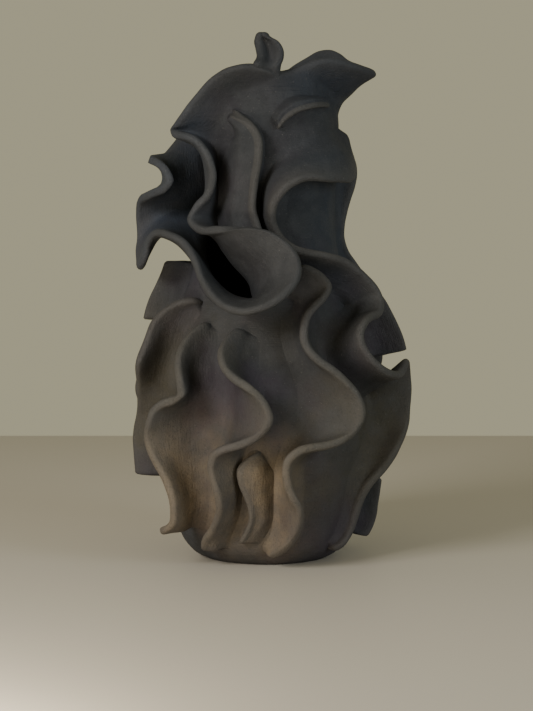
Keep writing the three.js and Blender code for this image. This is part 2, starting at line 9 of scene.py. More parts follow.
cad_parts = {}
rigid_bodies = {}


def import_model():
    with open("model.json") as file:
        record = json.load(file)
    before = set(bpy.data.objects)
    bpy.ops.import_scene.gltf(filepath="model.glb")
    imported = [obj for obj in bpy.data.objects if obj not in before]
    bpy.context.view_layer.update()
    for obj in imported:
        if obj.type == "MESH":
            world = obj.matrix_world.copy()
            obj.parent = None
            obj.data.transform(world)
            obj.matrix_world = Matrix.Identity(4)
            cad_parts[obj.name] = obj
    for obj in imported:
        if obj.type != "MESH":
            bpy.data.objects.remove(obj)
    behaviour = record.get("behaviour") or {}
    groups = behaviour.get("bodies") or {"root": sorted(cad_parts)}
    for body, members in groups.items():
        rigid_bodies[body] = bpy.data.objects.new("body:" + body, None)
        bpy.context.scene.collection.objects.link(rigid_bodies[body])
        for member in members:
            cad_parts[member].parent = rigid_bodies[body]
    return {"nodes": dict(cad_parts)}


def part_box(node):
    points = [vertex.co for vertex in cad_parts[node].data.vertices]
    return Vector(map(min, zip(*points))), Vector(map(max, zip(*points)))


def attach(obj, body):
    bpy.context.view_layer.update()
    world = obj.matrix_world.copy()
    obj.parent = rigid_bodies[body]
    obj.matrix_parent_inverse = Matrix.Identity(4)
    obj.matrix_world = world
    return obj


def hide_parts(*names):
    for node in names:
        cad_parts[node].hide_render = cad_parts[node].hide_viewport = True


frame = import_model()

# A hand-built black clay pot, about 358 mm tall. The frame's nodes give every place; this script gives them
# the fine surface, the blended joints and the clay. Metres, front towards -Y.
MM = 0.001
FULL_TURN = 2 * math.pi
WALL_NODES = ["foot_disc", "lower_bowl_wall", "belly_wall", "shoulder_wall", "neck_wall"]
MOUTH_NODES = ["crown_back", "crown_spout", "hood", "throat_lip", "left_wing"]
JOINED_RUFFLE = ["right_shoulder_ruffle", "right_side_ruffle"]
EAR_NODE = "crown_ear"

CAMERA_DISTANCE = 1.2
CAMERA_HEIGHT = 0.215
CAMERA_PITCH = 3.58
CAMERA_LENS = 86.79

# A strip's cross-section is a ring of 12 corners: 0 to 4 up one side, 5 on the rim, 6 to 10 down the other
# side, and 11 in the middle of the root.
RING_SIZE = 12
RIM = 5
ROOT = 11
SIDES = ((0, 1, 2, 3), (10, 9, 8, 7))  # the lower corners of either side, from the toe up
MIRRORED = [10, 9, 8, 7, 6, 5, 4, 3, 2, 1, 0, 11]

WALL = 7 * MM  # thickness of the wall
GAP = 0.9 * MM  # the frame's clearance under a ruffle
TOE_DEPTH = 0.35 * MM  # how far a feathered edge runs under the wall's surface
SAME_PLACE = 0.002 * MM  # corners of the frame this near each other are one
INSIDE_DROP = 3 * MM  # a corner this far inside the line between its neighbours is on the wall's inside
ROW_STEP = 1.9 * MM
WALL_COLUMNS = 144
WALL_ROW = 2.2 * MM
SHARP_ANGLE = math.radians(48)

for stray in [o for o in bpy.data.objects if o.name in ("Cube", "Light", "Camera")]:
    bpy.data.objects.remove(stray)

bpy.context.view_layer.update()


# ---------- camera ----------
def add_camera():
    data = bpy.data.cameras.new("camera")
    data.lens = CAMERA_LENS
    data.clip_start = 0.05
    data.clip_end = 30
    camera = bpy.data.objects.new("camera", data)
    camera.location = (0, -CAMERA_DISTANCE, CAMERA_HEIGHT)
    camera.rotation_euler = (math.radians(90 - CAMERA_PITCH), 0, 0)
    bpy.context.scene.collection.objects.link(camera)
    bpy.context.scene.camera = camera


add_camera()


# ---------- curves ----------
def unit(v):
    return v / np.maximum(np.linalg.norm(v, axis=-1, keepdims=True), 1e-12)


def cubic(t, start, leaving, end, arriving):
    """The point at t from 0 to 1 on a cubic curve between two points with these tangents."""
    return (
        (2 * t**3 - 3 * t**2 + 1) * start
        + (t**3 - 2 * t**2 + t) * leaving
        + (3 * t**2 - 2 * t**3) * end
        + (t**3 - t**2) * arriving
    )


def hermite(knots, values, wanted):
    """A smooth curve through values at rising knots, read at the wanted places."""
    step = np.diff(knots)
    slope = (np.diff(values, axis=0).T / step).T
    inner = (slope[1:].T * step[:-1] + slope[:-1].T * step[1:]) / (step[1:] + step[:-1])
    tangent = np.concatenate([slope[:1], inner.T, slope[-1:]])
    i = np.clip(np.searchsorted(knots, wanted, side="right") - 1, 0, len(step) - 1)
    t = (wanted - knots[i]) / step[i]
    shape = (-1,) + (1,) * (values.ndim - 1)
    t, width = t.reshape(shape), step[i].reshape(shape)
    return cubic(t, values[i], width * tangent[i], values[i + 1], width * tangent[i + 1])


# ---------- reading the frame ----------
def merged_mesh(node):
    """A node's corners, each once, and its triangles."""
    mesh = frame["nodes"][node].data
    corners = np.empty(3 * len(mesh.vertices))
    mesh.vertices.foreach_get("co", corners)
    corners = corners.reshape(-1, 3)
    used = np.empty(len(mesh.loops), int)
    mesh.loops.foreach_get("vertex_index", used)
    keys = np.round(corners / SAME_PLACE).astype(int)
    _, first, back = np.unique(keys, axis=0, return_index=True, return_inverse=True)
    return corners[first], back.ravel()[used].reshape(-1, 3)


def radius_of(points):
    return np.hypot(points[..., 0], points[..., 1])


def read_profile():
    """The wall's outside: the radius at every height where the frame has a row of outer corners."""
    found = {}
    for node in WALL_NODES:
        corners, _ = merged_mesh(node)
        for z, r in zip(np.round(corners[:, 2], 6), radius_of(corners)):
            found[z] = max(found.get(z, 0), r)
    z = np.array(sorted(found))
    r = np.array([found[height] for height in z])
    between = (r[:-2] + r[2:]) / 2
    outer = np.concatenate([[True], r[1:-1] > between - INSIDE_DROP, [True]])
    return z[outer], r[outer]


PROFILE_Z, PROFILE_R = read_profile()
SEAM_TOPS = [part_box(node)[1].z for node in WALL_NODES]


def wall_radius(z):
    z = np.asarray(z, float)
    flat = np.clip(z.ravel(), PROFILE_Z[0], PROFILE_Z[-1])
    return hermite(PROFILE_Z, PROFILE_R, flat).reshape(z.shape)


def outside(points):
    """How far points lie outside the wall's surface, along the radius."""
    return radius_of(points) - wall_radius(points[..., 2])


def set_outside(points, out):
    scale = (wall_radius(points[..., 2]) + out) / radius_of(points)
    moved = points.copy()
    moved[..., :2] *= scale[..., None]
    return moved


def neighbours_of(count, faces):
    found = [set() for _ in range(count)]
    for a, b, c in faces:
        found[a] |= {b, c}
        found[b] |= {a, c}
        found[c] |= {a, b}
    return found


def closing_rings(links, faces, size):
    """Loops of a size that a chain of triangles covers, from one corner with four neighbours to another."""
    across = {}
    for face in faces.tolist():
        for k in range(3):
            across.setdefault(frozenset((face[k], face[k - 1])), []).append(face)
    rings = []
    for face in faces.tolist():
        for tip in face:
            if len(links[tip]) != 4:
                continue
            left, right = [v for v in face if v != tip]
            todo = [(face, [left], [right])]
            while todo:
                here, one, other = todo.pop()
                edge = frozenset((one[-1], other[-1]))
                after = next(f for f in across[edge] if f != here)
                new = next(v for v in after if v not in edge)
                if new == tip or new in one or new in other:
                    continue
                total = len(one) + len(other) + 2
                if len(links[new]) == 4:
                    if total == size:
                        rings.append([tip, *one, new, *reversed(other)])
                elif total < size:
                    todo += [(after, one + [new], other), (after, one, other + [new])]
    return rings


def loop_order(members, links):
    """The members of a closed loop in order."""
    order = [min(members)]
    while len(order) < len(members):
        order.append(min(v for v in links[order[-1]] if v in members and v not in order))
    return order


def best_turn(before, ring):
    """The ring started and turned so that its points lie nearest to the ones before."""
    options = [np.roll(way, -k, axis=0) for way in (ring, ring[::-1]) for k in range(len(ring))]
    return min(options, key=lambda option: np.sum((option - before) ** 2))


def read_rings(node, size=RING_SIZE):
    """The cross-sections of a lofted strip, from one end to the other."""
    corners, faces = merged_mesh(node)
    links = neighbours_of(len(corners), faces)
    ends = closing_rings(links, faces, size)
    for first in ends:
        levels, done = [set(first)], set(first)
        while len(levels[-1]) == len(first) and len(done) < len(corners):
            levels.append({w for v in levels[-1] for w in links[v]} - done)
            done |= levels[-1]
        last = next((ring for ring in ends if set(ring) == levels[-1]), None)
        if len(done) == len(corners) == len(first) * len(levels) and last:
            break
    else:
        raise RuntimeError(f"{node}: its rings can't be read")
    points = [corners[first]]
    for level in levels[1:-1]:
        points.append(best_turn(points[-1], corners[loop_order(level, links)]))
    points.append(best_turn(points[-1], corners[last]))
    return np.array(points)


def wall_tree():
    corners, faces, start = [], [], 0
    for node in WALL_NODES:
        points, triangles = merged_mesh(node)
        corners += points.tolist()
        faces += (triangles + start).tolist()
        start += len(points)
    return BVHTree.FromPolygons(corners, faces)


WALL_TREE = wall_tree()


def strip_rings(node):
    """A strip's rings, with the middle of the root, which lies nearest the wall, as the last corner."""
    rings = read_rings(node)
    near = [np.mean([WALL_TREE.find_nearest(Vector(p))[3] for p in rings[:, k]]) for k in range(RING_SIZE)]
    lowest = sorted(range(RING_SIZE), key=lambda k: near[k])[:3]
    root = next(k for k in lowest if (k + 1) % RING_SIZE in lowest and (k - 1) % RING_SIZE in lowest)
    return np.roll(rings, ROOT - root, axis=1)


def same_side(before, rings):
    """The rings with their two sides swapped if that fits the ring before them better."""
    swapped = rings[:, MIRRORED]
    return min((rings, swapped), key=lambda option: np.sum((option[0] - before) ** 2))


def root_gap(ring, other):
    return np.sum((ring[ROOT] - other[ROOT]) ** 2)


def joined_rings(nodes, closed):
    """The rings of strips that follow each other. Where two meet, their end rings become one."""
    parts = [strip_rings(node) for node in nodes]
    first_gap, last_gap = (min(root_gap(parts[0][end], parts[1][k]) for k in (0, -1)) for end in (0, -1))
    if first_gap < last_gap:
        parts[0] = parts[0][::-1]
    for k in range(1, len(parts)):
        before = parts[k - 1][-1]
        if root_gap(parts[k][-1], before) < root_gap(parts[k][0], before):
            parts[k] = parts[k][::-1]
        parts[k] = same_side(before, parts[k])
    cuts, rings = [], [parts[0][0]]
    if closed:
        rings = [(parts[0][0] + parts[-1][-1]) / 2]
    for k, part in enumerate(parts):
        cuts.append(len(rings) - 1)
        rings += list(part[1:-1])
        if k + 1 < len(parts):
            rings.append((part[-1] + parts[k + 1][0]) / 2)
        elif not closed:
            rings.append(part[-1])
    return np.array(rings), cuts


# ---------- fine sections ----------
def flattened(direction, points):
    """A direction laid along the wall's surface at these points."""
    z = points[..., 2]
    slope = (wall_radius(z + MM) - wall_radius(z - MM)) / (2 * MM)
    normal = unit(np.stack([points[..., 0], points[..., 1], -slope * radius_of(points)], axis=-1))
    return unit(direction - normal * np.sum(direction * normal, axis=-1, keepdims=True))


def soft_tangents(rings):
    """Tangents at every corner of the rings, which lean towards the shorter side."""
    after = np.roll(rings, -1, axis=1) - rings
    before = np.roll(after, 1, axis=1)
    long_after, long_before = (np.sqrt(np.linalg.norm(v, axis=-1, keepdims=True)) for v in (after, before))
    return unit(unit(after) * long_before + unit(before) * long_after)


def strip_tangents(rings):
    """Soft tangents, but straight up and down just beside the rim and level across it."""
    tangents = soft_tangents(rings)
    tangents[:, RIM - 1] = unit(rings[:, RIM - 1] - rings[:, RIM - 2])
    tangents[:, RIM] = unit(rings[:, RIM + 1] - rings[:, RIM - 1])
    tangents[:, RIM + 1] = unit(rings[:, RIM + 2] - rings[:, RIM + 1])
    return tangents


def fine_sections(rings, tangents, counts, fullness):
    """Rings refined by cubic curves: counts says how many parts each side is divided into."""
    out = []
    for j, count in enumerate(counts):
        k = (j + 1) % len(counts)
        start, end = rings[:, j], rings[:, k]
        chord = np.linalg.norm(end - start, axis=-1, keepdims=True) * fullness[j]
        for t in np.arange(count) / count:
            out.append(cubic(t, start, tangents[:, j] * chord, end, tangents[:, k] * chord))
    return np.stack(out, axis=1)


SECTION_COUNTS = [6, 4, 4, 7, 5, 5, 7, 4, 4, 6, 1, 1]
RIM_COUNTS = [5, 5, 5, 4, 5, 5, 4, 5, 5, 5, 1, 1]
FULLNESS = [1, 1, 1, 1, 1.3, 1.3, 1, 1, 1, 1, 1, 1]
# How strongly each corner takes the rims' lighter colour, which is partly burnishing and partly a painted
# highlight.
RIM_SHARE = [0, 0, 0, 0, 0.75, 1, 0.75, 0, 0, 0, 0, 0, 0]  # at a ring's corners, and at its first again


def rim_weight(counts):
    """1 on the rim, fading to 0 one corner below it, for the points of a fine section."""
    sides = zip(RIM_SHARE[:-1], RIM_SHARE[1:], counts)
    return np.concatenate([np.linspace(one, other, count, endpoint=False) for one, other, count in sides])


# Folds whose soft side runs into the strip beside them: how far its lower three corners move along the wall,
# and how far out they come to lie, as a share of the fold's height.
FILLED = {
    "front_ridge": [(7 * MM, 0.4), (5.5 * MM, 0.66), (3 * MM, 0.9)],
    "low_ridge": [(10 * MM, -0.1), (8 * MM, 0.16), (4.5 * MM, 0.6)],
}


def fill_side(rings, steps):
    """Moves the lower corners of the wider side out over the wall."""
    corners = max(SIDES, key=lambda side: np.linalg.norm(rings[:, side[0]] - rings[:, ROOT], axis=-1).mean())
    height = outside(rings[:, RIM])
    away = unit(rings[:, corners[0]] - rings[:, ROOT])
    reached = np.clip(height / height.max(), 0, 1)[:, None]
    for j, (shift, share) in zip(corners, steps):
        rings[:, j] = set_outside(rings[:, j] + away * shift * reached, share * height)


# How far the lowest corners of a ruffle's section go down, towards the wall and into it.
SINK = {
    0: TOE_DEPTH + GAP,
    1: 0.8 * MM,
    2: 0.3 * MM,
    8: 0.3 * MM,
    9: 0.8 * MM,
    10: TOE_DEPTH + GAP,
    ROOT: 3 * MM,
}


def ruffle_sections(rings, steps):
    """Fine sections of a ruffle whose toes run out along the wall."""
    rings = rings.copy()
    if steps:
        fill_side(rings, steps)
    for j, depth in SINK.items():
        rings[:, j] = set_outside(rings[:, j], outside(rings[:, j]) - depth)
    tangents = strip_tangents(rings)
    tangents[:, 0] = -flattened(rings[:, 0] - rings[:, ROOT], rings[:, 0])
    tangents[:, 10] = flattened(rings[:, 10] - rings[:, ROOT], rings[:, 10])
    return fine_sections(rings, tangents, SECTION_COUNTS, FULLNESS)


ROOT_SHIFT = 1.5 * MM  # from the frame's clearance at the mouth's edge to a little inside the wall
RIM_FEATHER = 2.5 * MM  # how far the rim's outer face runs on over the neck

# The spout's underside is filled in towards the neck: how far each corner of its outer side moves down and
# outwards where the spout is widest.
SPOUT_ANGLE = math.radians(88)
SPOUT_SPREAD = math.radians(44)
SPOUT_BOTTOM = 0.33  # only lengths of the mouth's rim higher than this belong to the spout
SPOUT_FILL = [(14 * MM, 0), (7 * MM, 5.5 * MM), (2.5 * MM, 5 * MM), (0, 1 * MM)]
SPOUT_TOE_DEPTH = 0.4 * MM
SPOUT_TOE_RISE = 4  # the toe is wholly under the wall's surface from a quarter of the fill on


def fill_spout(rings, outer):
    turn = np.arctan2(rings[:, RIM, 0], -rings[:, RIM, 1]) - SPOUT_ANGLE
    share = np.cos(np.clip(turn / SPOUT_SPREAD, -1, 1) * math.pi / 2) ** 2
    share = np.where(rings[:, RIM, 2] > SPOUT_BOTTOM, share, 0)
    for j, (drop, out) in zip(outer, SPOUT_FILL):
        rings[:, j, 2] -= drop * share
        rings[:, j, :2] *= (1 + out * share / radius_of(rings[:, j]))[:, None]
    toe = rings[:, outer[0]]
    sunk = np.minimum(1, SPOUT_TOE_RISE * share)[:, None]
    rings[:, outer[0]] += (set_outside(toe, -SPOUT_TOE_DEPTH) - toe) * sunk


def rim_sections(rings):
    """Fine sections of the mouth's rim, which grows out of the edge of the wall."""
    rings = rings.copy()
    run = unit(np.roll(rings[:, ROOT], -1, axis=0) - np.roll(rings[:, ROOT], 1, axis=0))
    side = unit(np.cross(run, unit(rings[:, 0] - rings[:, 10])))
    inward = np.sum(side * (rings[:, 1] + rings[:, 9] - 2 * rings[:, ROOT]), axis=-1, keepdims=True)
    side *= np.sign(inward)
    for j in (10, ROOT, 0):
        rings[:, j] -= side * ROOT_SHIFT
    outer = max(SIDES, key=lambda corners: outside(rings[:, corners[0]]).mean())
    rings[:, outer[0]] = set_outside(rings[:, outer[0]] - side * RIM_FEATHER, -TOE_DEPTH)
    fill_spout(rings, outer)
    tangents = strip_tangents(rings)
    tangents[:, 0] = side
    tangents[:, 10] = -side
    return fine_sections(rings, tangents, RIM_COUNTS, FULLNESS)


def knots_of(sections):
    """How far along the strip each section lies, averaged between its points."""
    steps = np.linalg.norm(np.diff(sections, axis=0), axis=-1).mean(axis=1)
    return np.concatenate([[0], np.cumsum(steps)])


def row_places(knots, step):
    """Places about a step apart along a strip, every knot among them."""
    places = []
    for start, end in zip(knots[:-1], knots[1:]):
        count = max(2, round((end - start) / step))
        places.append(np.linspace(start, end, count, endpoint=False))
    return np.concatenate([*places, knots[-1:]])


END_REACH = 3.5 * MM  # length over which a free end rounds off
CUT_END_REACH = 1.2 * MM
CUT_ENDS = ["left_rear_fin", "low_right_fin"]  # fins that end in a plain cut
END_ROWS = 5  # rows that follow the curve of a rounded end
END_SCALE = 0.03  # size of the last section of a rounded end


def round_end(rows, places, end, root, reach):
    """Rounds a strip off towards its root at one end."""
    away = np.abs(places - end)
    near = np.clip(1 - away / reach, 0, 1)
    scale = np.sqrt(np.maximum(1 - near**2, END_SCALE**2))
    foot = rows[:, root : root + 1]
    return foot + (rows - foot) * scale[:, None, None]


# ---------- surface ----------
def wave_table(seed, count, shortest, longest, swing):
    rng = np.random.default_rng(seed)
    direction = unit(rng.normal(size=(count, 3)))
    length = np.exp(rng.uniform(math.log(shortest), math.log(longest), count))
    push = unit(rng.normal(size=(count, 3))) * swing * rng.uniform(0.5, 1, (count, 1))
    return direction * (FULL_TURN / length)[:, None], push, rng.uniform(0, FULL_TURN, count)


HAND_WAVES = [
    wave_table(seed=3, count=14, shortest=26 * MM, longest=75 * MM, swing=0.24 * MM),
    wave_table(seed=5, count=16, shortest=9 * MM, longest=18 * MM, swing=0.07 * MM),
]
LEVEL_FOOT = 4 * MM  # below this height nothing moves up or down, so the pot stands flat


def hand_worked(points):
    """The slight unevenness of hand work, the same for pieces that touch."""
    moved = points.copy()
    for waves, push, phase in HAND_WAVES:
        moved += np.sin(points @ waves.T + phase) @ push
    moved[..., 2] = np.where(points[..., 2] < LEVEL_FOOT, points[..., 2], moved[..., 2])
    return moved


def grid_faces(rows, columns):
    """Quads of a tube of rows that are closed loops of columns."""
    i, j = np.meshgrid(np.arange(rows - 1), np.arange(columns), indexing="ij")
    k = (j + 1) % columns
    low, high = i * columns, (i + 1) * columns
    return np.stack([low + j, low + k, high + k, high + j], axis=-1).reshape(-1, 4).tolist()


def cap_faces(size, start, turned, lone):
    """Faces that close a loop which goes up one side of a slab and down the other. With lone 1 the loop's
    first corner lies on the slab's edge by itself, and with lone 0 it faces the last one."""
    faces = []
    for j in range((size - 1 + lone) // 2):
        across = size - 1 + lone - j
        face = [start + v for v in dict.fromkeys((j, j + 1, across - 1, across % size))]
        faces.append(face[::-1] if turned else face)
    return faces


def tube_faces(rows, columns, lone=0):
    """Faces of a tube of closed loops, with both ends capped."""
    faces = grid_faces(rows, columns)
    faces += cap_faces(columns, 0, True, lone)
    faces += cap_faces(columns, (rows - 1) * columns, False, lone)
    return faces


def volume_sign(points, faces):
    total = 0.0
    for face in faces:
        a = points[face[0]]
        for k in range(1, len(face) - 1):
            total += a @ np.cross(points[face[k]], points[face[k + 1]])
    return total


def add_piece(node, points, faces, material, attributes):
    if volume_sign(points, faces) < 0:
        faces = [face[::-1] for face in faces]
    mesh = bpy.data.meshes.new(f"{node}_clay")
    mesh.from_pydata(points.tolist(), [], faces)
    mesh.update()
    mesh.shade_smooth()
    mesh.set_sharp_from_angle(angle=SHARP_ANGLE)
    for name, values in attributes.items():
        kind, member = ("FLOAT", "value") if np.ndim(values) == 1 else ("FLOAT_VECTOR", "vector")
        layer = mesh.attributes.new(name, kind, "POINT")
        layer.data.foreach_set(member, np.asarray(values, np.float32).ravel())
    mesh.materials.append(material)
    piece = bpy.data.objects.new(f"{node}_clay", mesh)
    bpy.context.scene.collection.objects.link(piece)
    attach(piece, "root")
    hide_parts(node)


# ---------- clay ----------
class ClayNodes:
    """Short calls for the nodes that the clay's material is made of."""

    def __init__(self, tree):
        self.tree = tree
        self.place = self.add("TexCoord").outputs["Object"]

    def add(self, kind):
        return self.tree.nodes.new(f"ShaderNode{kind}")

    def link(self, source, target):
        self.tree.links.new(source, target)

    def attribute(self, name):
        node = self.add("Attribute")
        node.attribute_name = name
        return node.outputs

    def noise(self, scale, detail=3, vector=None):
        node = self.add("TexNoise")
        node.inputs["Scale"].default_value = scale
        node.inputs["Detail"].default_value = detail
        self.link(vector or self.place, node.inputs["Vector"])
        return node.outputs["Fac"]

    def ranged(self, value, low, high, to_low=0.0, to_high=1.0):
        """A soft ramp of a value."""
        node = self.add("MapRange")
        node.interpolation_type = "SMOOTHSTEP"
        ends = {"From Min": low, "From Max": high, "To Min": to_low, "To Max": to_high}
        for key, number in ends.items():
            node.inputs[key].default_value = number
        self.link(value, node.inputs["Value"])
        return node.outputs["Result"]

    def times(self, one, other):
        node = self.add("Math")
        node.operation = "MULTIPLY"
        for socket, value in zip(node.inputs, (one, other)):
            if isinstance(value, float):
                socket.default_value = value
            else:
                self.link(value, socket)
        return node.outputs["Value"]

    def area(self, first, *others):
        """Where several soft ramps, each of a value and its low and high end, are all high."""
        share = self.ranged(*first)
        for ramp in others:
            share = self.times(share, self.ranged(*ramp))
        return share

    def mixed(self, factor, one, other):
        node = self.add("Mix")
        node.data_type = "RGBA"
        self.link(factor, node.inputs["Factor"])
        for key, colour in (("A", one), ("B", other)):
            socket = next(s for s in node.inputs if s.name == key and s.type == "RGBA")
            if isinstance(colour, tuple):
                socket.default_value = (*colour, 1)
            else:
                self.link(colour, socket)
        return next(s for s in node.outputs if s.type == "RGBA")


DARK = (0.0212, 0.0221, 0.0243)
SPECK = (0.15, 0.14, 0.13)  # grains of pale grit
SPECULAR = 0.22


def clay_colour(clay, painted_bounce_colour, burnish_and_highlight):
    """Dark clay with random plum and paler patches, browner and paler round the waist, a little darker and
    cooler towards the top, and pale grit. Over it is painted light: a painted golden bounce on the lower
    front, painted bluish sheen on the right shoulder and the wing, painted shade on the spout and the throat
    lip, and lighter rims that are partly burnishing and partly a painted highlight.
    """

    def tinted(red, green, blue):
        return (DARK[0] * red, DARK[1] * green, DARK[2] * blue)

    axes = clay.add("SeparateXYZ")
    clay.link(clay.place, axes.inputs["Vector"])
    x, y, z = (axes.outputs[axis] for axis in "XYZ")
    noise, ranged, times, mixed = clay.noise, clay.ranged, clay.times, clay.mixed

    waist = clay.area((z, 0.02, 0.07), (z, 0.2, 0.12))
    right = clay.area((z, 0.15, 0.25), (x, -0.01, 0.05))
    crown = ranged(z, 0.24, 0.29, 0.0, 0.65)
    spout = clay.area((z, 0.3, 0.325), (x, 0.0, 0.03))
    wing = clay.area((z, 0.17, 0.22), (x, -0.03, -0.055))
    lip = clay.area((y, -0.035, -0.06), (z, 0.165, 0.185), (z, 0.25, 0.225))
    # Painted warm bounce light: the lower front left is painted golden, as if lit from a sunlit floor.
    painted_bounce_area = clay.area((z, 0.13, 0.05), (y, -0.03, -0.07), (x, 0.05, -0.01))

    colour = mixed(ranged(noise(17), 0.45, 0.65), DARK, tinted(1.22, 0.96, 1.12))
    colour = mixed(times(waist, ranged(noise(11), 0.38, 0.6)), colour, tinted(1.75, 1.5, 1.02))
    # Painted bluish sheen on the right shoulder, in noisy patches, as if from cool skylight.
    colour = mixed(times(right, ranged(noise(13), 0.35, 0.6, 0.3, 1.0)), colour, tinted(0.9, 1.1, 1.38))
    colour = mixed(crown, colour, tinted(0.86, 0.9, 0.92))
    # Painted shade with a blue cast on the spout, as if it were shaded under cool skylight.
    colour = mixed(times(spout, 0.9), colour, tinted(0.66, 0.8, 1.05))
    # Painted bluish light on the wing's face, lighter and bluer in noisy patches, as if lit by cool
    # skylight.
    colour = mixed(times(wing, ranged(noise(13), 0.3, 0.6, 0.4, 1.0)), colour, tinted(1.12, 1.36, 1.76))
    # Painted shade on the throat lip's front, which is darkened.
    colour = mixed(times(lip, 0.85), colour, tinted(0.74, 0.75, 0.76))
    # Painted golden bounce light over the lower front, in noisy patches.
    colour = mixed(times(painted_bounce_area, ranged(noise(24, 4), 0.3, 0.7, 0.25, 1.0)), colour, painted_bounce_colour)
    colour = mixed(ranged(noise(140, 5), 0.35, 0.75, 0.0, 0.3), colour, tinted(1.8, 1.8, 1.8))
    # Rims lighter: partly burnishing, partly a painted highlight where they face the light.
    colour = mixed(times(clay.attribute("rim")["Fac"], 0.55), colour, burnish_and_highlight)
    colour = mixed(ranged(noise(800, 3), 0.5, 0.75, 0.0, 0.4), colour, tinted(0.45, 0.45, 0.45))
    return mixed(ranged(noise(1250, 1), 0.72, 0.77, 0.0, 0.4), colour, SPECK)


BUMP_STRENGTH = 0.75
SCRAPE_STRETCH = 0.06  # width of a scraping mark as a share of its length


def clay_relief(clay):
    """The normal of a gritty surface with faint scraping marks along each strip."""
    scraped = clay.add("VectorMath")
    scraped.operation = "MULTIPLY"
    scraped.inputs[1].default_value = (SCRAPE_STRETCH, 1, 1)
    clay.link(clay.attribute("grain")["Vector"], scraped.inputs[0])
    normal = None
    for height, depth in (
        (clay.noise(1500, 3), 0.24 * MM),
        (clay.noise(520, 4), 0.42 * MM),
        (clay.noise(900, 2, scraped.outputs["Vector"]), 0.36 * MM),
        (clay.noise(150, 3), 0.6 * MM),
    ):
        bump = clay.add("Bump")
        bump.inputs["Strength"].default_value = BUMP_STRENGTH
        bump.inputs["Distance"].default_value = depth
        clay.link(height, bump.inputs["Height"])
        if normal is not None:
            clay.link(normal, bump.inputs["Normal"])
        normal = bump.outputs["Normal"]
    return normal


def clay_material(name, slot, painted_bounce_colour, burnish_and_highlight):
    material = bpy.data.materials.new(name)
    material.use_nodes = True
    material["slot"] = slot
    shader = material.node_tree.nodes["Principled BSDF"]
    clay = ClayNodes(material.node_tree)
    clay.link(clay_colour(clay, painted_bounce_colour, burnish_and_highlight), shader.inputs["Base Color"])
    clay.link(clay.ranged(clay.noise(60, 4), 0.3, 0.7, 0.66, 0.86), shader.inputs["Roughness"])
    clay.link(clay_relief(clay), shader.inputs["Normal"])
    shader.inputs["Specular IOR Level"].default_value = SPECULAR
    return material


# Each material's first colour is its painted golden bounce light. Its second is the rims' lighter colour,
# which is partly burnishing and partly a painted highlight and is strongest on the ruffles.
WALL_CLAY = clay_material("wall_clay_look", "wall_clay", (0.13, 0.1, 0.066), (0.038, 0.038, 0.039))
RIM_CLAY = clay_material("rim_clay_look", "rim_clay", (0.085, 0.06, 0.033), (0.036, 0.0365, 0.038))
RUFFLE_CLAY = clay_material("ruffle_clay_look", "ruffle_clay", (0.14, 0.108, 0.072), (0.054, 0.051, 0.047))


# ---------- wall ----------
BELLY_GRAIN = 60 * MM  # radius at which the scraping marks round the wall are measured
NECK_GRAIN = 50 * MM


def polar(angle, radius, z):
    return np.stack([radius * np.sin(angle), -radius * np.cos(angle), z], axis=-1)


def turned_piece(node, profile):
    """A body turned round the axis from a closed outline of radius and height."""
    radius, height = np.array(profile).T
    shape = (WALL_COLUMNS, len(radius))
    angles = np.linspace(0, FULL_TURN, WALL_COLUMNS, endpoint=False)[:, None]
    height = np.broadcast_to(height, shape)
    grid = polar(angles, radius, height)
    grain = np.stack([np.broadcast_to(angles * BELLY_GRAIN, shape), height, np.zeros(shape)], axis=-1)
    faces = grid_faces(*shape)
    size = shape[1]
    last = (WALL_COLUMNS - 1) * size
    faces += [[last + j, last + (j + 1) % size, (j + 1) % size, j] for j in range(size)]
    add_piece(node, hand_worked(grid.reshape(-1, 3)), faces, WALL_CLAY, {"grain": grain.reshape(-1, 3)})


def course(node, bottom, top):
    rise = np.linspace(bottom, top, max(3, round((top - bottom) / WALL_ROW)) + 1)
    fall = np.linspace(top, bottom, max(3, round((top - bottom) / (3 * WALL_ROW))) + 1)
    turned_piece(node, [*zip(wall_radius(rise), rise), *zip(wall_radius(fall) - WALL, fall)])


FOOT_CENTRE = 0.1 * MM  # radius of the tiny hole that keeps the foot's centre free of thin triangles
FOOT_RING = 20 * MM
FOOT_HOLLOW = 1.5 * MM  # depth of the floor's hollow inside the wall
FOOT_EDGE = 1 * MM
FOOT_SLOPE = 8 * MM


def foot():
    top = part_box("foot_disc")[1].z
    rise = np.linspace(0, top, 7)
    floor = top - FOOT_HOLLOW
    inner = float(wall_radius(top)) - WALL - FOOT_EDGE
    underside = [(FOOT_CENTRE, 0), (FOOT_RING, 0)]
    upper_side = [(inner, top), (inner - FOOT_SLOPE, floor), (FOOT_CENTRE, floor)]
    turned_piece("foot_disc", [*underside, *zip(wall_radius(rise), rise), *upper_side])


TONGUE = 2.6 * MM  # how far the neck's edge runs into the rim's root, and how much thinner it is there
TONGUE_INSET = 0.5 * MM
TONGUE_STEP = 0.02 * MM  # height of the step at which the tongue starts
NECK_COLUMNS = 120
NECK_FINE_BAND = 20 * MM  # rows lie closer together this far above the neck's lowest corners
NECK_FINE_ROWS = 16


def neck_openings():
    """The heights of the neck's rows of corners, and the two angles that the mouth lies between at each."""
    corners, _ = merged_mesh("neck_wall")
    heights = np.unique(np.round(corners[:, 2], 6))
    edges = []
    for z in heights[::-1]:
        row = corners[np.abs(corners[:, 2] - z) < SAME_PLACE]
        row = row[outside(row) > -WALL / 2]
        angle = np.sort(np.arctan2(row[:, 0], -row[:, 1]) % FULL_TURN)
        after = np.append(angle[1:], angle[0] + FULL_TURN)
        if edges:
            here = np.argmin(np.abs(angle - edges[-1][0]) + np.abs(after - edges[-1][1]))
        else:
            here = np.argmax(after - angle)
        edges.append((angle[here], after[here]))
    return heights, np.array(edges[::-1])


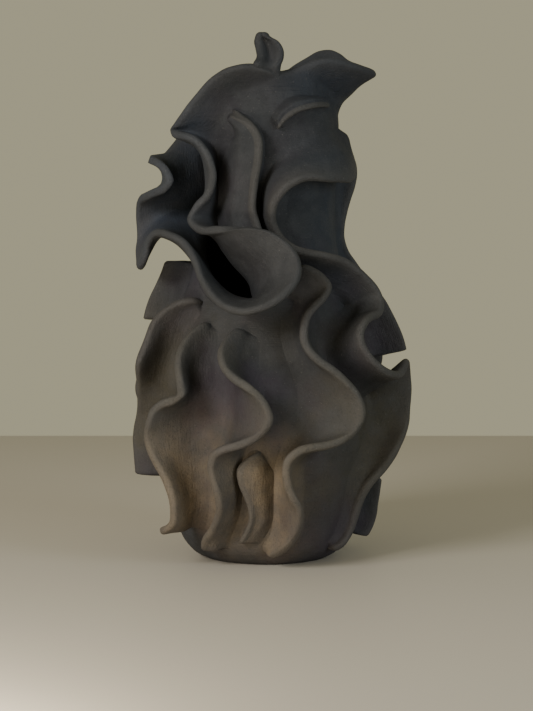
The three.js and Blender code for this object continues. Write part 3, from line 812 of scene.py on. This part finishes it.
def neck():
    heights, openings = neck_openings()
    count = round((heights[-1] - heights[0]) / WALL_ROW)
    lowest_rows = np.linspace(SEAM_TOPS[3], heights[0] + NECK_FINE_BAND, NECK_FINE_ROWS)
    rise = np.unique(np.concatenate([lowest_rows, np.linspace(heights[0], heights[-1], count)]))
    rear, front = hermite(heights, openings, rise).T
    share = np.linspace(0, 1, NECK_COLUMNS)[:, None]
    angles = front * (1 - share) + (rear + FULL_TURN) * share

    rise = np.append(rise, [rise[-1] + TONGUE_STEP, rise[-1] + TONGUE])
    angles = np.concatenate([angles, angles[:, -1:], angles[:, -1:]], axis=1)
    reach = TONGUE / wall_radius(rise)
    angles = np.concatenate([angles[:1] - reach, angles[:1], angles, angles[-1:], angles[-1:] + reach])
    inset = np.zeros(angles.shape)
    inset[[0, 1, -2, -1]] = TONGUE_INSET
    inset[:, -2:] = TONGUE_INSET

    height = np.broadcast_to(rise, angles.shape)
    outer = polar(angles, wall_radius(rise) - inset, height)
    inner = polar(angles, wall_radius(rise) - WALL + inset, height)
    grid = np.concatenate([outer, inner[:, ::-1]], axis=1)
    grain = np.stack([angles * NECK_GRAIN, height, np.zeros(angles.shape)], axis=-1)
    grain = np.concatenate([grain, grain[:, ::-1]], axis=1).reshape(-1, 3)
    faces = tube_faces(*grid.shape[:2])
    add_piece("neck_wall", hand_worked(grid.reshape(-1, 3)), faces, WALL_CLAY, {"grain": grain})


foot()
for k in (1, 2, 3):
    course(WALL_NODES[k], SEAM_TOPS[k - 1], SEAM_TOPS[k])
neck()


# ---------- strips ----------
def grain_of(grid):
    """Distances along and across a grid of points, for the scraping marks."""
    across = np.zeros(grid.shape[:2])
    across[:, 1:] = np.cumsum(np.linalg.norm(np.diff(grid, axis=1), axis=-1), axis=1)
    along = np.broadcast_to(knots_of(grid)[:, None], across.shape)
    return np.stack([along, across, np.zeros(across.shape)], axis=-1).reshape(-1, 3)


def strip_piece(node, grid, material, counts):
    weights = np.tile(rim_weight(counts), len(grid))
    attributes = {"rim": weights, "grain": grain_of(grid)}
    add_piece(node, grid.reshape(-1, 3), tube_faces(*grid.shape[:2]), material, attributes)


def split_strip(nodes, rows, places, cut_places, material, counts):
    """Makes one piece for each node, from the rows between two cuts."""
    starts = [int(np.argmin(np.abs(places - cut))) for cut in cut_places] + [len(rows) - 1]
    for k, node in enumerate(nodes):
        strip_piece(node, rows[starts[k] : starts[k + 1] + 1], material, counts)


MOUTH_SMOOTHING = 2  # passes along the rim, over the corners between its toes and its edge


def mouth():
    rings, cuts = joined_rings(MOUTH_NODES, closed=True)
    for j in (1, 2, 3, 7, 8, 9):
        for _ in range(MOUTH_SMOOTHING):
            line = rings[:, j]
            rings[:, j] = (np.roll(line, 1, axis=0) + 2 * line + np.roll(line, -1, axis=0)) / 4
    sections = rim_sections(rings)
    wrapped = np.concatenate([sections[-2:], sections, sections[:3]])
    knots = knots_of(wrapped)
    places = row_places(knots[2 : len(sections) + 3], ROW_STEP)
    rows = hand_worked(hermite(knots, wrapped, places))
    split_strip(MOUTH_NODES, rows, places, [knots[2 + cut] for cut in cuts], RIM_CLAY, RIM_COUNTS)


def ruffle(nodes):
    rings, cuts = (strip_rings(nodes[0]), [0]) if len(nodes) == 1 else joined_rings(nodes, closed=False)
    sections = ruffle_sections(rings, FILLED.get(nodes[0]))
    knots = knots_of(sections)
    reach = CUT_END_REACH if nodes[0] in CUT_ENDS else END_REACH
    ends = reach * (1 - np.cos(np.linspace(0, math.pi / 2, END_ROWS, endpoint=False)))
    places = np.unique(np.concatenate([row_places(knots, ROW_STEP), ends, knots[-1] - ends]))
    rows = hermite(knots, sections, places)
    root = rows.shape[1] - 1
    for end in (0, knots[-1]):
        rows = round_end(rows, places, end, root, reach)
    split_strip(nodes, hand_worked(rows), places, knots[cuts], RUFFLE_CLAY, SECTION_COUNTS)


mouth()
for node in frame["nodes"]:
    if node not in WALL_NODES + MOUTH_NODES + JOINED_RUFFLE + [EAR_NODE]:
        ruffle([node])
ruffle(JOINED_RUFFLE)


# ---------- ear ----------
EAR_RING = 10  # corners in a ring of the ear; 0 and 5 lie on the leaf's two edges
EAR_ACROSS = [0, 9, 8, 7, 6, 5, 4, 3, 2, 1]
EAR_COUNTS = [3] * EAR_RING
EAR_ROW = 1.2 * MM
EAR_ROOT_DEPTH = 9 * MM
EAR_ROOT_RADIUS = 45.5 * MM
EAR_ROOT_THICKNESS = 0.3
EAR_TIP = ((0.88, 0.85, 1.1 * MM), (0.6, 0.5, 1.9 * MM))  # width, thickness and rise of its rounded end
# The whole ear takes 0.3 of the rims' lighter colour, which is partly burnishing and partly a painted
# highlight.
EAR_RIM = 0.3


def ear():
    rings = read_rings(EAR_NODE, EAR_RING)
    if rings[0, :, 2].mean() > rings[-1, :, 2].mean():
        rings = rings[::-1]
    low_radius = radius_of(rings[0])
    radius = EAR_ROOT_RADIUS + EAR_ROOT_THICKNESS * (low_radius - low_radius.mean())
    base = rings[0] - [0, 0, EAR_ROOT_DEPTH]
    base[:, :2] *= (radius / low_radius)[:, None]
    top = rings[-1]
    middle = (top + top[EAR_ACROSS]) / 2
    centre = middle.mean(axis=0)
    tip = [
        centre + (middle - centre) * width + (top - middle) * thickness + [0, 0, rise]
        for width, thickness, rise in EAR_TIP
    ]
    rings = np.concatenate([[base], rings, tip])
    sections = fine_sections(rings, soft_tangents(rings), EAR_COUNTS, [1] * EAR_RING)
    knots = knots_of(sections)
    rows = hand_worked(hermite(knots, sections, row_places(knots, EAR_ROW)))
    count, columns = rows.shape[:2]
    attributes = {"rim": np.full(count * columns, EAR_RIM), "grain": grain_of(rows)}
    add_piece(EAR_NODE, rows.reshape(-1, 3), tube_faces(count, columns, lone=1), RIM_CLAY, attributes)


ear()


# ---------- stage and light ----------
FLOOR_HALF = 0.76


def add_floor():
    material = bpy.data.materials.new("floor_pale")
    material.use_nodes = True
    shader = material.node_tree.nodes["Principled BSDF"]
    shader.inputs["Base Color"].default_value = (0.42, 0.385, 0.33, 1)
    shader.inputs["Roughness"].default_value = 0.55
    mesh = bpy.data.meshes.new("floor")
    corners = [(x * FLOOR_HALF, y * FLOOR_HALF, 0) for x, y in ((-1, -1), (1, -1), (1, 1), (-1, 1))]
    mesh.from_pydata(corners, [], [(0, 1, 2, 3)])
    mesh.materials.append(material)
    floor = bpy.data.objects.new("floor", mesh)
    bpy.context.scene.collection.objects.link(floor)


def add_light(name, place, target, size, power, colour):
    data = bpy.data.lights.new(name, "AREA")
    data.shape = "RECTANGLE"
    data.size, data.size_y = size
    data.energy = power
    data.color = colour
    lamp = bpy.data.objects.new(name, data)
    lamp.location = place
    lamp.rotation_mode = "QUATERNION"
    lamp.rotation_quaternion = (Vector(place) - Vector(target)).to_track_quat("Z", "Y")
    bpy.context.scene.collection.objects.link(lamp)


def add_world(colour, strength):
    world = bpy.data.worlds.new("studio")
    world.use_nodes = True
    background = world.node_tree.nodes["Background"]
    background.inputs["Color"].default_value = (*colour, 1)
    background.inputs["Strength"].default_value = strength
    bpy.context.scene.world = world


add_floor()
add_world((0.5, 0.466, 0.315), 0.77)
add_light("key", (-0.9, -1.1, 0.75), (0, 0, 0.18), (0.5, 0.5), 22, (1.0, 0.97, 0.92))
add_light("fill", (1.15, -1.0, 0.45), (0, 0, 0.2), (0.6, 0.9), 12, (0.84, 0.94, 1.0))
add_light("bounce", (-0.22, -0.42, 0.02), (0, -0.05, 0.09), (0.3, 0.1), 1.7, (1.0, 0.88, 0.7))
